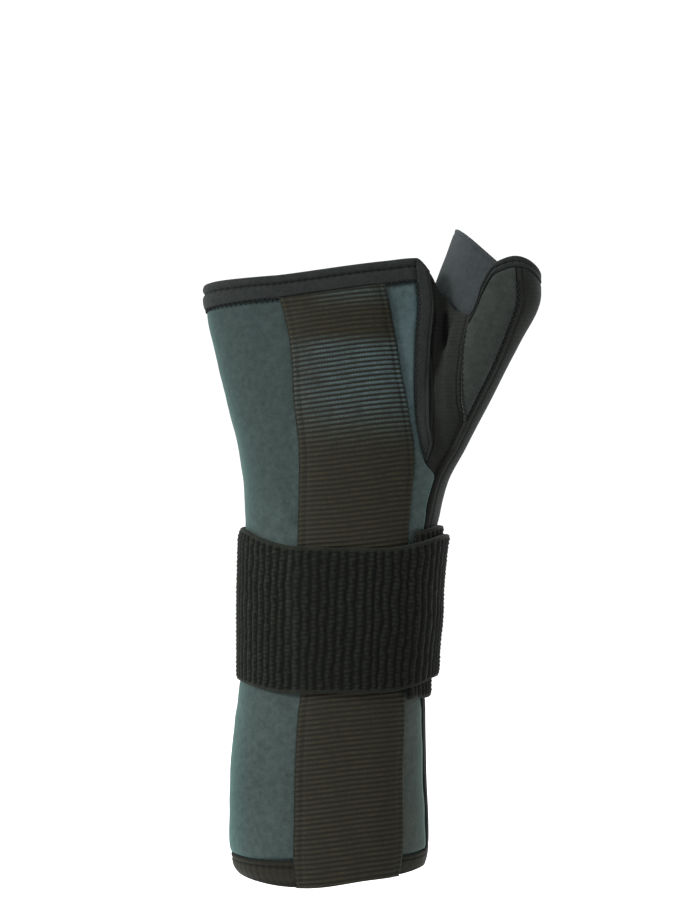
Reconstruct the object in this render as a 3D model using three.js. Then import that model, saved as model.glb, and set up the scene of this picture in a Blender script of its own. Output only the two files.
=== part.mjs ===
// A thumb spica splint for a right hand, in the shape it has when worn: a padded wrist sleeve that
// opens into a thumb stall, a ribbed splint pocket on the palm side, bound edges, an elastic wrist
// strap wound one and a half turns, and a narrow strap round the base of the thumb.
// The origin is on the wrist's axis. +Z points to the fingers, -Y is the palm side, +X is the thumb side.
import * as THREE from "three";

// Driving dimensions, in millimetres. Widths and depths are those of the sleeve's outer face.
const HAND_LENGTH = 131.6; // wrist axis to the palm rim's highest corner
const FOREARM_LENGTH = 102.4; // wrist axis to the lowest point of the lower rim
const PALM_ULNAR = 52; // axis to the little finger's side, at the palm rim
const WRIST_ULNAR = 36.7;
const FOREARM_ULNAR = 42;
const PALM_RADIAL = 40; // axis to the index finger's side, at the palm rim
const WRIST_RADIAL = 34;
const FOREARM_RADIAL = 31.3; // under the strap's lower edge, where it is narrowest
const PALM_DEPTH = 41; // palm face to back face
const WRIST_DEPTH = 50;
const FOREARM_DEPTH = 57;
const PALM_LEAN = 8; // how far the hand tips back from the forearm's line
const THUMB_REACH = 76.4; // axis to the outer side of the thumb stall, at its rim
const THUMB_WIDTH = 32;
const THUMB_DEPTH = 35;
const THUMB_FORWARD = 5; // how far the stall's centre stands in front of the forearm's line
const WEB_DEPTH = 17; // front to back across the neck between hand and thumb
const WALL = 3; // padded sleeve
const GUSSET_WALL = 1.6; // stretch fabric
const BINDING_PROUD = 0.9; // how far a binding stands off the wall, on each side
const PALM_BINDING = 8.4; // heights of the bindings
const FOREARM_BINDING = 8;
const THUMB_BINDING = 4;
const TAPE_PROUD = 0.5;
const POCKET_THICK = 2.8; // at its middle
const POCKET_EDGE = 1.3; // at its sewn sides
const STRAP_THICK = 1.9;
const STRAP_WIDTH = 57.5;
const STRAP_RISE = 31; // wrist axis to the strap's upper edge on the back
const TAB_WIDTH = 40;
const THUMB_STRAP_WIDTH = 25;
const THUMB_STRAP_THICK = 1.5;
const THUMB_STRAP_LONG = 30.5; // its fold to its ends, along its lean, at its upper edge
const THUMB_STRAP_TAPER = 10.4; // how much shorter it is at its lower edge
const THUMB_STRAP_FOLD = 11; // length of its rounded fold
const THUMB_STRAP_DEEP = 19.6; // outside of its fold, front to back, at its upper edge
const THUMB_STRAP_NECK = 8.2; // the same at its lower edge, which is tucked in between the gussets
const THUMB_STRAP_SPREAD = 4.6; // how much wider it stands at its ends
const THUMB_STRAP_LEAN = 43; // degrees from level
const THUMB_STRAP_INWARD = 2.1; // the stall's web side to the strap's middle
const THUMB_STRAP_RISE = 13.9; // the rim at the web to the strap's middle
const SEAM = 0.6; // gap between pieces sewn edge to edge
const SEAT = 0.4; // gap between a piece and the one that it lies on
const STRAP_SEAT = 0.7; // gap under the wrist strap
const FACE_STEP = 1; // half the height over which the face's slope is measured
const LEAST_SPAN = 1; // least distance in which the hand's middle runs over to the thumb's
const LEAST_SPEED = 8; // least distance that a radian of the section counts for

// Sections of the sleeve. at: height, in shares of HAND_LENGTH above the wrist and of FOREARM_LENGTH
// below it. ulnar, radial, depth: 0 is the wrist's size, 1 is the palm's or the forearm's.
// lean: share of PALM_LEAN. reach: the stall's outer side, from WRIST_RADIAL (0) to THUMB_REACH (1).
// girth: share of the stall's width. thick: share of its depth. web: share of WEB_DEPTH.
const SECTIONS = [
  { at: -1.0, ulnar: 0.25, radial: 1.4, depth: 0.82, lean: 0, reach: -0.2, girth: 0.6, thick: 0.9, web: 0 },
  { at: -0.94, ulnar: 0.7, radial: 0.6, depth: 0.94, lean: 0, reach: -0.2, girth: 0.6, thick: 0.9, web: 0 },
  { at: -0.85, ulnar: 0.96, radial: 0.12, depth: 1.0, lean: 0, reach: -0.2, girth: 0.6, thick: 0.9, web: 0 },
  { at: -0.6, ulnar: 0.9, radial: 0.5, depth: 0.86, lean: 0, reach: -0.2, girth: 0.6, thick: 0.9, web: 0 },
  { at: -0.38, ulnar: 0.58, radial: 0.62, depth: 0.55, lean: 0, reach: -0.15, girth: 0.6, thick: 0.9, web: 0 },
  { at: -0.25, ulnar: 0.0, radial: 0.9, depth: 0.1, lean: 0, reach: -0.1, girth: 0.6, thick: 0.9, web: 0 },
  { at: 0.0, ulnar: 0.0, radial: 0.0, depth: 0.0, lean: 0, reach: -0.04, girth: 0.7, thick: 0.9, web: 0 },
  { at: 0.26, ulnar: -0.04, radial: 0.45, depth: -0.06, lean: 0.0, reach: 0.07, girth: 0.75, thick: 0.96, web: 0 },
  { at: 0.36, ulnar: 0.0, radial: 0.6, depth: -0.06, lean: 0.0, reach: 0.15, girth: 0.8, thick: 1.0, web: 0.2 },
  { at: 0.46, ulnar: 0.14, radial: 0.67, depth: 0.0, lean: 0.06, reach: 0.312, girth: 0.82, thick: 1.0, web: 0.5 },
  { at: 0.6, ulnar: 0.44, radial: 0.73, depth: 0.25, lean: 0.3, reach: 0.532, girth: 0.86, thick: 0.98, web: 0.9 },
  { at: 0.75, ulnar: 0.735, radial: 0.83, depth: 0.65, lean: 0.72, reach: 0.77, girth: 0.92, thick: 0.98, web: 1.0 },
  { at: 0.9, ulnar: 0.98, radial: 0.97, depth: 0.92, lean: 1.0, reach: 0.982, girth: 1.0, thick: 1.0, web: 1.0 },
  { at: 1.0, ulnar: 0.94, radial: 1.0, depth: 0.92, lean: 0.95, reach: 0.98, girth: 1.0, thick: 1.0, web: 1.0 },
];

// Where the seams cross the front, in shares of the section's width from the little finger's side.
// The back has the same seams, mirrored. Seams that meet in a point share one value below it.
const SEAMS = [
  { at: -1.0, pocketLeft: 0.322, pocketRight: 0.857, tape: 0.985, gusset: 0.985, stall: 0.985, side: 0.985 },
  { at: -0.7, pocketLeft: 0.332, pocketRight: 0.865, tape: 0.985, gusset: 0.985, stall: 0.985, side: 0.985 },
  { at: -0.35, pocketLeft: 0.336, pocketRight: 0.882, tape: 0.985, gusset: 0.985, stall: 0.985, side: 0.985 },
  { at: 0.0, pocketLeft: 0.298, pocketRight: 0.857, tape: 0.955, gusset: 0.955, stall: 0.955, side: 0.955 },
  { at: 0.26, pocketLeft: 0.282, pocketRight: 0.846, tape: 0.937, gusset: 0.937, stall: 0.937, side: 0.937 },
  { at: 0.37, pocketLeft: 0.279, pocketRight: 0.824, tape: 0.936, gusset: 0.936, stall: 0.936, side: 0.936 },
  { at: 0.415, pocketLeft: 0.276, pocketRight: 0.8, tape: 0.856, gusset: 0.856, stall: 0.938, side: 0.938 },
  { at: 0.46, pocketLeft: 0.273, pocketRight: 0.77, tape: 0.804, gusset: 0.847, stall: 0.945, side: 0.945 },
  { at: 0.52, pocketLeft: 0.267, pocketRight: 0.728, tape: 0.757, gusset: 0.805, stall: 0.946, side: 0.946 },
  { at: 0.59, pocketLeft: 0.261, pocketRight: 0.687, tape: 0.72, gusset: 0.771, stall: 0.893, side: 0.947 },
  { at: 0.68, pocketLeft: 0.26, pocketRight: 0.635, tape: 0.687, gusset: 0.735, stall: 0.842, side: 0.949 },
  { at: 0.755, pocketLeft: 0.2545, pocketRight: 0.602, tape: 0.667, gusset: 0.713, stall: 0.816, side: 0.945 },
  { at: 0.835, pocketLeft: 0.24, pocketRight: 0.566, tape: 0.649, gusset: 0.693, stall: 0.799, side: 0.932 },
  { at: 0.91, pocketLeft: 0.223, pocketRight: 0.543, tape: 0.6365, gusset: 0.679, stall: 0.789, side: 0.923 },
  { at: 1.0, pocketLeft: 0.218, pocketRight: 0.53, tape: 0.628, gusset: 0.668, stall: 0.784, side: 0.918 },
];

// The way round the skin: 0 is the little finger's side, 0.5 the thumb's side, and back to 1.
const ROUND = {
  ulnar: 0,
  pocketLeft: 0.12,
  pocketRight: 0.26,
  tape: 0.3,
  gusset: 0.33,
  stall: 0.39,
  side: 0.46,
  radial: 0.5,
};
const SEAM_NAMES = Object.keys(ROUND);

// Heights of the upper rim, in shares of HAND_LENGTH. past: share of the way on to the next seam.
const UPPER_RIM = [
  { seam: "ulnar", past: 0, top: 0.925 },
  { seam: "pocketLeft", past: 0, top: 0.949 },
  { seam: "pocketRight", past: 0, top: 0.99 },
  { seam: "tape", past: 0, top: 1.0 },
  { seam: "gusset", past: 0, top: 0.963 },
  { seam: "gusset", past: 0.25, top: 0.905 },
  { seam: "gusset", past: 0.6, top: 0.848 },
  { seam: "stall", past: 0, top: 0.838 },
  { seam: "stall", past: 0.2, top: 0.922 },
  { seam: "stall", past: 0.5, top: 0.98 },
  { seam: "side", past: 0, top: 0.998 },
  { seam: "radial", past: 0, top: 0.955 },
];

// Heights of the lower rim, in shares of FOREARM_LENGTH.
const LOWER_RIM = [
  { seam: "ulnar", past: 0, top: -0.975 },
  { seam: "pocketLeft", past: 0, top: -1.0 },
  { seam: "pocketRight", past: 0, top: -0.965 },
  { seam: "tape", past: 0, top: -0.95 },
  { seam: "side", past: 0, top: -0.95 },
  { seam: "radial", past: 0, top: -0.94 },
];

// Heights of the rows that the pieces of the wall share, in the shares of SECTIONS.
const LEVELS = [
  -1, -0.945, -0.89, -0.8, -0.65, -0.5, -0.38, -0.32, -0.26, -0.13, 0, 0.13, 0.26, 0.33, 0.385, 0.435, 0.5, 0.565, 0.62,
  0.68, 0.755, 0.835, 0.91, 1,
];
const GUSSET_START = 0.385;
const TAPE_START = 0.435;
const STALL_START = 0.565;
const UPPER_BEND = 0.5; // where the rows start to follow the upper rim
const LOWER_BEND = -0.5;

// The wrist strap along its winding, from the pocket's thumb side over the back to the front again.
// turn: the way round, 1 more on the second layer. drop: how far its upper edge lies below
// STRAP_RISE, and wide: its width there, both in shares of STRAP_WIDTH.
const STRAP_PATH = [
  { turn: 0.385, drop: 0.03, wide: 1.09 },
  { turn: 0.47, drop: -0.005, wide: 1.13 },
  { turn: 0.56, drop: -0.005, wide: 1.1 },
  { turn: 0.75, drop: 0.0, wide: 1.02 },
  { turn: 1.02, drop: 0.015, wide: 1.0 },
  { turn: 1.18, drop: 0.13, wide: 0.95 },
  { turn: 1.32, drop: 0.14, wide: 0.937 },
  { turn: 1.47, drop: 0.05, wide: 0.94 },
  { turn: 1.75, drop: 0.05, wide: 0.94 },
];
const STRAP_START = STRAP_PATH[0].turn;
const STRAP_END = STRAP_PATH[STRAP_PATH.length - 1].turn;
const TAB_START = 1.64; // the closing tab runs from here to the strap's end

const mix = THREE.MathUtils.lerp;
const ease = (t) => THREE.MathUtils.smoothstep(t, 0, 1);

// A column of a table at a place between its rows, on a smooth curve through them.
function column(rows, key, place, by = "at") {
  const last = rows.length - 1;
  const t = THREE.MathUtils.clamp(place, rows[0][by], rows[last][by]);
  let i = 0;
  while (i < last - 1 && t > rows[i + 1][by]) i++;
  const chord = (k) => (rows[k + 1][key] - rows[k][key]) / (rows[k + 1][by] - rows[k][by]);
  const slope = (k) => {
    if (k === 0 || k === last) return 0;
    const [a, b] = [chord(k - 1), chord(k)];
    return a * b > 0 ? (2 * a * b) / (a + b) : 0;
  };
  const span = rows[i + 1][by] - rows[i][by];
  const s = (t - rows[i][by]) / span;
  const rise = rows[i + 1][key] - rows[i][key];
  return rows[i][key] + s * s * (3 - 2 * s) * rise + s * (1 - s) * span * ((1 - s) * slope(i) - s * slope(i + 1));
}

const share = (z) => (z < 0 ? z / FOREARM_LENGTH : z / HAND_LENGTH);
const heightOf = (at) => (at < 0 ? at * FOREARM_LENGTH : at * HAND_LENGTH);

// The outer section at a height: the hand, the thumb, and the web between them.
function sectionAt(z) {
  const at = share(z);
  const read = (key) => column(SECTIONS, key, at);
  const above = z > 0;
  const ulnar = mix(WRIST_ULNAR, above ? PALM_ULNAR : FOREARM_ULNAR, read("ulnar"));
  const radial = mix(WRIST_RADIAL, above ? PALM_RADIAL : FOREARM_RADIAL, read("radial"));
  const depth = mix(WRIST_DEPTH, above ? PALM_DEPTH : FOREARM_DEPTH, read("depth"));
  const reach = mix(WRIST_RADIAL, THUMB_REACH, read("reach"));
  const thumbHalf = (THUMB_WIDTH / 2) * read("girth");
  const thumbX = reach - thumbHalf;
  const handX = (radial - ulnar) / 2;
  return {
    left: -ulnar,
    right: Math.max(radial, reach),
    hand: { x: handX, half: (radial + ulnar) / 2, deep: depth / 2 },
    thumb: { x: thumbX, half: thumbHalf, deep: (THUMB_DEPTH / 2) * read("thick") },
    web: { x: (handX + thumbX) / 2, half: (thumbX - handX) / 2, deep: (WEB_DEPTH / 2) * read("web") },
    handY: PALM_LEAN * read("lean"),
    thumbY: -THUMB_FORWARD * read("lean"),
  };
}

const FULLNESS = 2.5; // 2 is an ellipse, more is squarer
const BLEND = 5; // how tightly the lobes run together

function lobe(x, { x: middle, half, deep }) {
  const off = Math.abs((x - middle) / half);
  return off < 1 ? deep * (1 - off ** FULLNESS) ** (1 / FULLNESS) : 0;
}

// The middle between front and back, which runs over from the hand's to the thumb's.
function middleY(x, s) {
  const inward = s.hand.x + s.hand.half / 2;
  return mix(s.handY, s.thumbY, ease((x - inward) / Math.max(s.thumb.x - inward, LEAST_SPAN)));
}

// A point of the sleeve's outer face. angle: 0 at the little finger's side, PI at the thumb's.
function facePoint(angle, z) {
  const s = sectionAt(z);
  const x = s.left + ((s.right - s.left) * (1 - Math.cos(angle))) / 2;
  const lobes = [lobe(x, s.hand), lobe(x, s.thumb), lobe(x, s.web)];
  const deep = lobes.reduce((sum, f) => sum + f ** BLEND, 0) ** (1 / BLEND);
  return new THREE.Vector3(x, middleY(x, s) - deep * (Math.sin(angle) < 0 ? -1 : 1), z);
}

function faceNormal(angle, z) {
  const step = 0.03;
  const across = facePoint(angle + step, z).sub(facePoint(angle - step, z));
  const along = facePoint(angle, z + FACE_STEP).sub(facePoint(angle, z - FACE_STEP));
  return across.cross(along).normalize();
}

// A point at an angle, a height and a distance off the outer face.
const offFace = (angle, z, off) => facePoint(angle, z).addScaledVector(faceNormal(angle, z), off);

// The angle of a way round the skin, at a height.
function angleOf(round, z) {
  const turn = round - Math.floor(round);
  const front = turn <= 0.5 ? turn : 1 - turn;
  let i = 0;
  while (i < SEAM_NAMES.length - 2 && front > ROUND[SEAM_NAMES[i + 1]]) i++;
  const [from, to] = [SEAM_NAMES[i], SEAM_NAMES[i + 1]].map((name) => {
    if (name === "ulnar") return 0;
    if (name === "radial") return Math.PI;
    return Math.acos(1 - 2 * column(SEAMS, name, share(z)));
  });
  const past = (front - ROUND[SEAM_NAMES[i]]) / (ROUND[SEAM_NAMES[i + 1]] - ROUND[SEAM_NAMES[i]]);
  const angle = mix(from, to, past);
  return turn <= 0.5 ? angle : 2 * Math.PI - angle;
}

// A point at a way round, a height and a distance off the outer face. nudge slides it round, in mm.
function skin(round, z, off, nudge = 0) {
  const angle = angleOf(round, z);
  const step = 0.02;
  const speed = facePoint(angle + step, z).distanceTo(facePoint(angle - step, z)) / (2 * step);
  return offFace(angle + nudge / Math.max(speed, LEAST_SPEED), z, off);
}

const frontOf = (round) => {
  const turn = round - Math.floor(round);
  return Math.min(turn, 1 - turn);
};

// The rims as functions of the way round, in mm.
const placed = (rows) =>
  rows.map((row) => {
    const i = SEAM_NAMES.indexOf(row.seam);
    const next = ROUND[SEAM_NAMES[Math.min(i + 1, SEAM_NAMES.length - 1)]];
    return { at: mix(ROUND[row.seam], next, row.past), top: row.top };
  });
const UPPER = placed(UPPER_RIM);
const LOWER = placed(LOWER_RIM);
const upperRim = (round) => HAND_LENGTH * column(UPPER, "top", frontOf(round));
const lowerRim = (round) => FOREARM_LENGTH * column(LOWER, "top", frontOf(round));

// The height of a row at a way round: rows are level in the middle and follow the rims at the ends.
function rowHeight(round, level) {
  const up = ease((level - UPPER_BEND) / (1 - UPPER_BEND));
  const down = ease((level - LOWER_BEND) / (-1 - LOWER_BEND));
  return heightOf(level) + up * (upperRim(round) - HAND_LENGTH) + down * (lowerRim(round) + FOREARM_LENGTH);
}

// A closed solid between two faces of a grid. point(i, j, side) gives its corners, outer side 1.
// A ring's last column is its first.
function slab(columns, rows, point, ring = false) {
  const across = ring ? columns : columns + 1;
  const corners = [];
  for (const side of [0, 1])
    for (let j = 0; j <= rows; j++) for (let i = 0; i < across; i++) corners.push(point(i, j, side));
  const index = (i, j, side) => (side * (rows + 1) + j) * across + (i % across);
  const faces = [];
  const quad = (a, b, c, d) => faces.push(a, b, c, a, c, d);
  for (let i = 0; i < columns; i++) {
    for (let j = 0; j < rows; j++) {
      quad(index(i, j, 1), index(i + 1, j, 1), index(i + 1, j + 1, 1), index(i, j + 1, 1));
      quad(index(i, j, 0), index(i, j + 1, 0), index(i + 1, j + 1, 0), index(i + 1, j, 0));
    }
    quad(index(i, 0, 0), index(i + 1, 0, 0), index(i + 1, 0, 1), index(i, 0, 1));
    quad(index(i, rows, 1), index(i + 1, rows, 1), index(i + 1, rows, 0), index(i, rows, 0));
  }
  for (let j = 0; j < rows && !ring; j++) {
    quad(index(0, j, 1), index(0, j + 1, 1), index(0, j + 1, 0), index(0, j, 0));
    quad(index(columns, j, 0), index(columns, j + 1, 0), index(columns, j + 1, 1), index(columns, j, 1));
  }
  const geometry = new THREE.BufferGeometry();
  geometry.setAttribute("position", new THREE.Float32BufferAttribute(corners.flatMap((p) => p.toArray()), 3));
  geometry.setIndex(faces);
  return geometry;
}

// Ways round from stop to stop, with that many columns between each pair.
function ways(stops, counts) {
  const list = [stops[0]];
  counts.forEach((count, i) => {
    for (let k = 1; k <= count; k++) list.push(mix(stops[i], stops[i + 1], k / count));
  });
  return list;
}

// A panel of the wall. low and high are functions of the way round, the rows between them are the
// shared ones. inner and outer are distances off the outer face.
function panel({ across, low, high, from = -1, to = 1, inner, outer }) {
  const between = LEVELS.filter((level) => level > from && level < to);
  const rows = between.length + 1;
  const columns = across.length - 1;
  return slab(columns, rows, (i, j, side) => {
    const nudge = i === 0 ? SEAM / 2 : i === columns ? -SEAM / 2 : 0;
    const z = j === 0 ? low(across[i]) : j === rows ? high(across[i]) : rowHeight(across[i], between[j - 1]);
    return skin(across[i], z, side ? outer : inner, nudge);
  });
}

// A binding folded over a rim: profile gives its rows, up as a share of its height and proud as a
// share of how far it stands off the wall.
const ROLLED = [
  { up: 0, proud: 0.75 },
  { up: 0.5, proud: 0.9 },
  { up: 0.62, proud: 0.3 },
  { up: 0.78, proud: 1 },
  { up: 1, proud: 0.45 },
];
const FLAT = [
  { up: 0, proud: 0.8 },
  { up: 0.6, proud: 1 },
  { up: 1, proud: 0.5 },
];

function binding({ across, rim, height, profile, proud, ring = false }) {
  const columns = across.length - 1;
  return slab(
    columns,
    profile.length - 1,
    (i, j, side) => {
      const nudge = ring ? 0 : i === 0 ? SEAM / 2 : i === columns ? -SEAM / 2 : 0;
      const foot = Math.min(rim(across[i]), rim(across[i]) - height);
      const z = foot + height * profile[j].up;
      const off = proud * profile[j].proud;
      return skin(across[i], z, side ? off : -WALL - off, nudge);
    },
    ring,
  );
}

const FABRICS = {
  padded: { color: 0x48595a, roughness: 0.95 },
  webbing: { color: 0x2e302b, roughness: 0.8 },
  binding: { color: 0x26292a, roughness: 0.9 },
  elastic: { color: 0x1c1e1c, roughness: 0.9 },
  felt: { color: 0x3f464a, roughness: 0.98 },
};

function piece(name, fabric, geometry) {
  const mesh = new THREE.Mesh(geometry, new THREE.MeshStandardMaterial({ ...FABRICS[fabric], metalness: 0 }));
  mesh.name = name;
  return mesh;
}

const back = (seam) => 1 - ROUND[seam];

// The sleeve wraps from its back seam, round the little finger's side, to the palm seam.
const SLEEVE_STOPS = [-ROUND.tape, -ROUND.pocketRight, -ROUND.pocketLeft, 0, ROUND.pocketLeft, ROUND.pocketRight, ROUND.tape];
const SLEEVE_ACROSS = ways(SLEEVE_STOPS, [2, 7, 6, 6, 7, 2]);
const aboveForearmBinding = (round) => lowerRim(round) + FOREARM_BINDING + SEAM;

function sleeve() {
  const high = (round) => upperRim(round) - PALM_BINDING - SEAM;
  const low = aboveForearmBinding;
  return piece("sleeve", "padded", panel({ across: SLEEVE_ACROSS, low, high, from: -0.89, to: 0.91, inner: -WALL, outer: 0 }));
}

function sidePanel() {
  const across = ways([ROUND.side, 0.5, back("side")], [4, 4]);
  const high = (round) => upperRim(round) - THUMB_BINDING - SEAM;
  const low = aboveForearmBinding;
  return piece("side_panel", "binding", panel({ across, low, high, from: -0.89, inner: -WALL, outer: 0 }));
}

function webTape(name, from, to) {
  const across = ways([from, to], [2]);
  const low = (round) => rowHeight(round, TAPE_START);
  return piece(name, "binding", panel({ across, low, high: upperRim, from: TAPE_START, inner: -WALL, outer: TAPE_PROUD }));
}

function webGusset(name, from, to) {
  const across = ways([from, to], [5]);
  const low = (round) => rowHeight(round, GUSSET_START);
  const inner = -WALL;
  return piece(name, "binding", panel({ across, low, high: upperRim, from: GUSSET_START, inner, outer: inner + GUSSET_WALL }));
}

function stallPanel(name, from, to) {
  const across = ways([from, to], [4]);
  const low = (round) => rowHeight(round, STALL_START);
  const high = (round) => upperRim(round) - THUMB_BINDING - 2 * SEAM;
  return piece(name, "padded", panel({ across, low, high, from: STALL_START, inner: -WALL, outer: 0 }));
}

function palmBinding() {
  const form = { rim: upperRim, height: PALM_BINDING, profile: ROLLED, proud: BINDING_PROUD };
  return piece("palm_binding", "binding", binding({ across: SLEEVE_ACROSS, ...form }));
}

function forearmBinding() {
  const palmSide = ways([0, ROUND.pocketLeft, ROUND.pocketRight, ROUND.tape], [6, 7, 2]);
  const side = ways([ROUND.side, 0.5, back("side")], [4, 4]).slice(1, -1);
  const across = [...palmSide, ...side, ...palmSide.map((round) => 1 - round).reverse()];
  const rim = (round) => lowerRim(round) + FOREARM_BINDING;
  const form = { rim, height: FOREARM_BINDING, profile: FLAT, proud: 0, ring: true };
  return piece("forearm_binding", "binding", binding({ across, ...form }));
}

function thumbBinding() {
  const across = ways([ROUND.stall, ROUND.side, 0.5, back("side"), back("stall")], [6, 4, 4, 6]);
  const form = { rim: upperRim, height: THUMB_BINDING, profile: FLAT, proud: BINDING_PROUD };
  return piece("thumb_binding", "binding", binding({ across, ...form }));
}

// How far the pocket's outer face stands off the sleeve, at a share of the width.
const POCKET_SIDE = 0.06; // shares of the width in which the strap climbs onto the pocket
function pocketFace(across, at) {
  const left = column(SEAMS, "pocketLeft", at);
  const right = column(SEAMS, "pocketRight", at);
  const u = (across - left) / (right - left);
  if (u >= 0 && u <= 1) return SEAT + mix(POCKET_EDGE, POCKET_THICK, 1 - Math.abs(2 * u - 1) ** 3);
  const away = u < 0 ? left - across : across - right;
  return (SEAT + POCKET_EDGE) * (1 - ease(away / POCKET_SIDE));
}

function splintPocket() {
  const across = ways([ROUND.pocketLeft, ROUND.pocketRight], [10]);
  const between = LEVELS.filter((level) => level > -1 && level < 0.91);
  const rows = between.length + 1;
  const high = (round) => upperRim(round) - PALM_BINDING - SEAT;
  const outer = (round, z) => pocketFace((1 - Math.cos(angleOf(round, z))) / 2, share(z));
  return piece(
    "splint_pocket",
    "webbing",
    slab(across.length - 1, rows, (i, j, side) => {
      const round = across[i];
      const z = j === 0 ? lowerRim(round) : j === rows ? high(round) : rowHeight(round, between[j - 1]);
      return skin(round, z, side ? outer(round, z) : SEAT);
    }),
  );
}

// The strap's inner face: off the sleeve or the pocket, and off the first layer on the second.
const LAYER_RISE = 0.03; // turns in which the strap climbs onto its own first layer
function strapInner(turn, z) {
  const front = turn % 1 < 0.5;
  const across = (1 - Math.cos(2 * Math.PI * turn)) / 2;
  const onPocket = STRAP_SEAT + (front ? pocketFace(across, share(z)) : 0);
  const onStrap = 2 * STRAP_SEAT + STRAP_THICK;
  return mix(onPocket, Math.max(onPocket, onStrap), ease((turn - 1 - STRAP_START) / LAYER_RISE + 1));
}

// A stretch of the strap's winding. inset takes that much off its two edges, layer lifts it.
function windingSlab({ from, to, columns, rows, inset, layer, thick }) {
  return slab(columns, rows, (i, j, side) => {
    const turn = mix(from, to, i / columns);
    const top = STRAP_RISE - STRAP_WIDTH * column(STRAP_PATH, "drop", turn, "turn") - inset;
    const width = STRAP_WIDTH * column(STRAP_PATH, "wide", turn, "turn") - 2 * inset;
    const z = top - width * (1 - j / rows);
    return offFace(2 * Math.PI * turn, z, strapInner(turn, z) + layer + (side ? thick : 0));
  });
}

function wristStrap() {
  const shape = { from: STRAP_START, to: STRAP_END, columns: 74, rows: 8, inset: 0, layer: 0, thick: STRAP_THICK };
  return piece("wrist_strap", "elastic", windingSlab(shape));
}

function wristStrapTab() {
  const inset = (STRAP_WIDTH * STRAP_PATH[STRAP_PATH.length - 1].wide - TAB_WIDTH) / 2;
  const layer = STRAP_THICK + SEAT;
  const shape = { from: TAB_START, to: STRAP_END, columns: 7, rows: 3, inset, layer, thick: STRAP_THICK / 2 };
  return piece("wrist_strap_tab", "elastic", windingSlab(shape));
}

// The thumb strap is folded round the base of the thumb. Its fold is in the web, its two legs run
// down into the stall, and its lower edge goes behind the web's rim.
function thumbStrap() {
  const lean = THREE.MathUtils.degToRad(THUMB_STRAP_LEAN);
  const along = new THREE.Vector3(Math.cos(lean), 0, -Math.sin(lean));
  const axis = new THREE.Vector3(Math.sin(lean), 0, Math.cos(lean));
  const rise = upperRim(ROUND.stall) + THUMB_STRAP_RISE;
  const middle = new THREE.Vector3(THUMB_REACH - THUMB_WIDTH + THUMB_STRAP_INWARD, 0, rise);
  const legs = 5; // columns of each leg
  const fold = 14;
  const columns = fold + 2 * legs;
  const rows = 6;
  const end = THUMB_STRAP_LONG / 2;
  return piece(
    "thumb_strap",
    "felt",
    slab(columns, rows, (i, j, side) => {
      const up = j / rows;
      const inset = side ? 0 : THUMB_STRAP_THICK;
      const turn = Math.PI * (0.5 + THREE.MathUtils.clamp((i - legs) / fold, 0, 1));
      const down = Math.max(legs - i, i - legs - fold, 0) / legs; // 0 to 1 along a leg
      const centre = THUMB_STRAP_TAPER * (1 - up) - end + THUMB_STRAP_FOLD;
      const reach = down > 0 ? mix(centre, end, down) : centre + (THUMB_STRAP_FOLD - inset) * Math.cos(turn);
      const deep = mix(THUMB_STRAP_NECK, THUMB_STRAP_DEEP, ease(up)) / 2 + (THUMB_STRAP_SPREAD / 2) * ease(down) - inset;
      const point = middle.clone().addScaledVector(along, reach).addScaledVector(axis, (up - 0.5) * THUMB_STRAP_WIDTH);
      return point.setY(middleY(point.x, sectionAt(point.z)) + deep * Math.sin(turn));
    }),
  );
}

const group = new THREE.Group();
group.add(
  sleeve(),
  sidePanel(),
  webTape("web_tape_front", ROUND.tape, ROUND.gusset),
  webTape("web_tape_back", back("gusset"), back("tape")),
  webGusset("web_gusset_front", ROUND.gusset, ROUND.stall),
  webGusset("web_gusset_back", back("stall"), back("gusset")),
  stallPanel("stall_panel_front", ROUND.stall, ROUND.side),
  stallPanel("stall_panel_back", back("side"), back("stall")),
  splintPocket(),
  palmBinding(),
  forearmBinding(),
  thumbBinding(),
  wristStrap(),
  wristStrapTab(),
  thumbStrap(),
);

export default group;
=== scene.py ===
"""The looks of a thumb spica splint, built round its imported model. Lengths are in mm up to make()."""

import math
from collections import namedtuple

import bpy
import numpy as np
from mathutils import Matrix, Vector


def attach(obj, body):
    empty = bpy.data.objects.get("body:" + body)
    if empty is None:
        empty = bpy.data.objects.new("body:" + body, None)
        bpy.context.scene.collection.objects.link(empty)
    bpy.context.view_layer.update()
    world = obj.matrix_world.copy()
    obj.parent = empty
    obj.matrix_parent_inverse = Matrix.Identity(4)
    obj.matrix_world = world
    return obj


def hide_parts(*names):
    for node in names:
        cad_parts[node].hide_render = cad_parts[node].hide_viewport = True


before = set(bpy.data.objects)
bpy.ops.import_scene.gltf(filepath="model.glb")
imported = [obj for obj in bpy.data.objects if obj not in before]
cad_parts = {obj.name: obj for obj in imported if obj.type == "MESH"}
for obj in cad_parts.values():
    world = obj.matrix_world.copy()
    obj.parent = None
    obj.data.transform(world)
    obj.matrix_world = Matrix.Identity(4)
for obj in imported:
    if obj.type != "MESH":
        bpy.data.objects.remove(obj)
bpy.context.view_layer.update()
scene = bpy.context.scene

MM = 0.001

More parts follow.
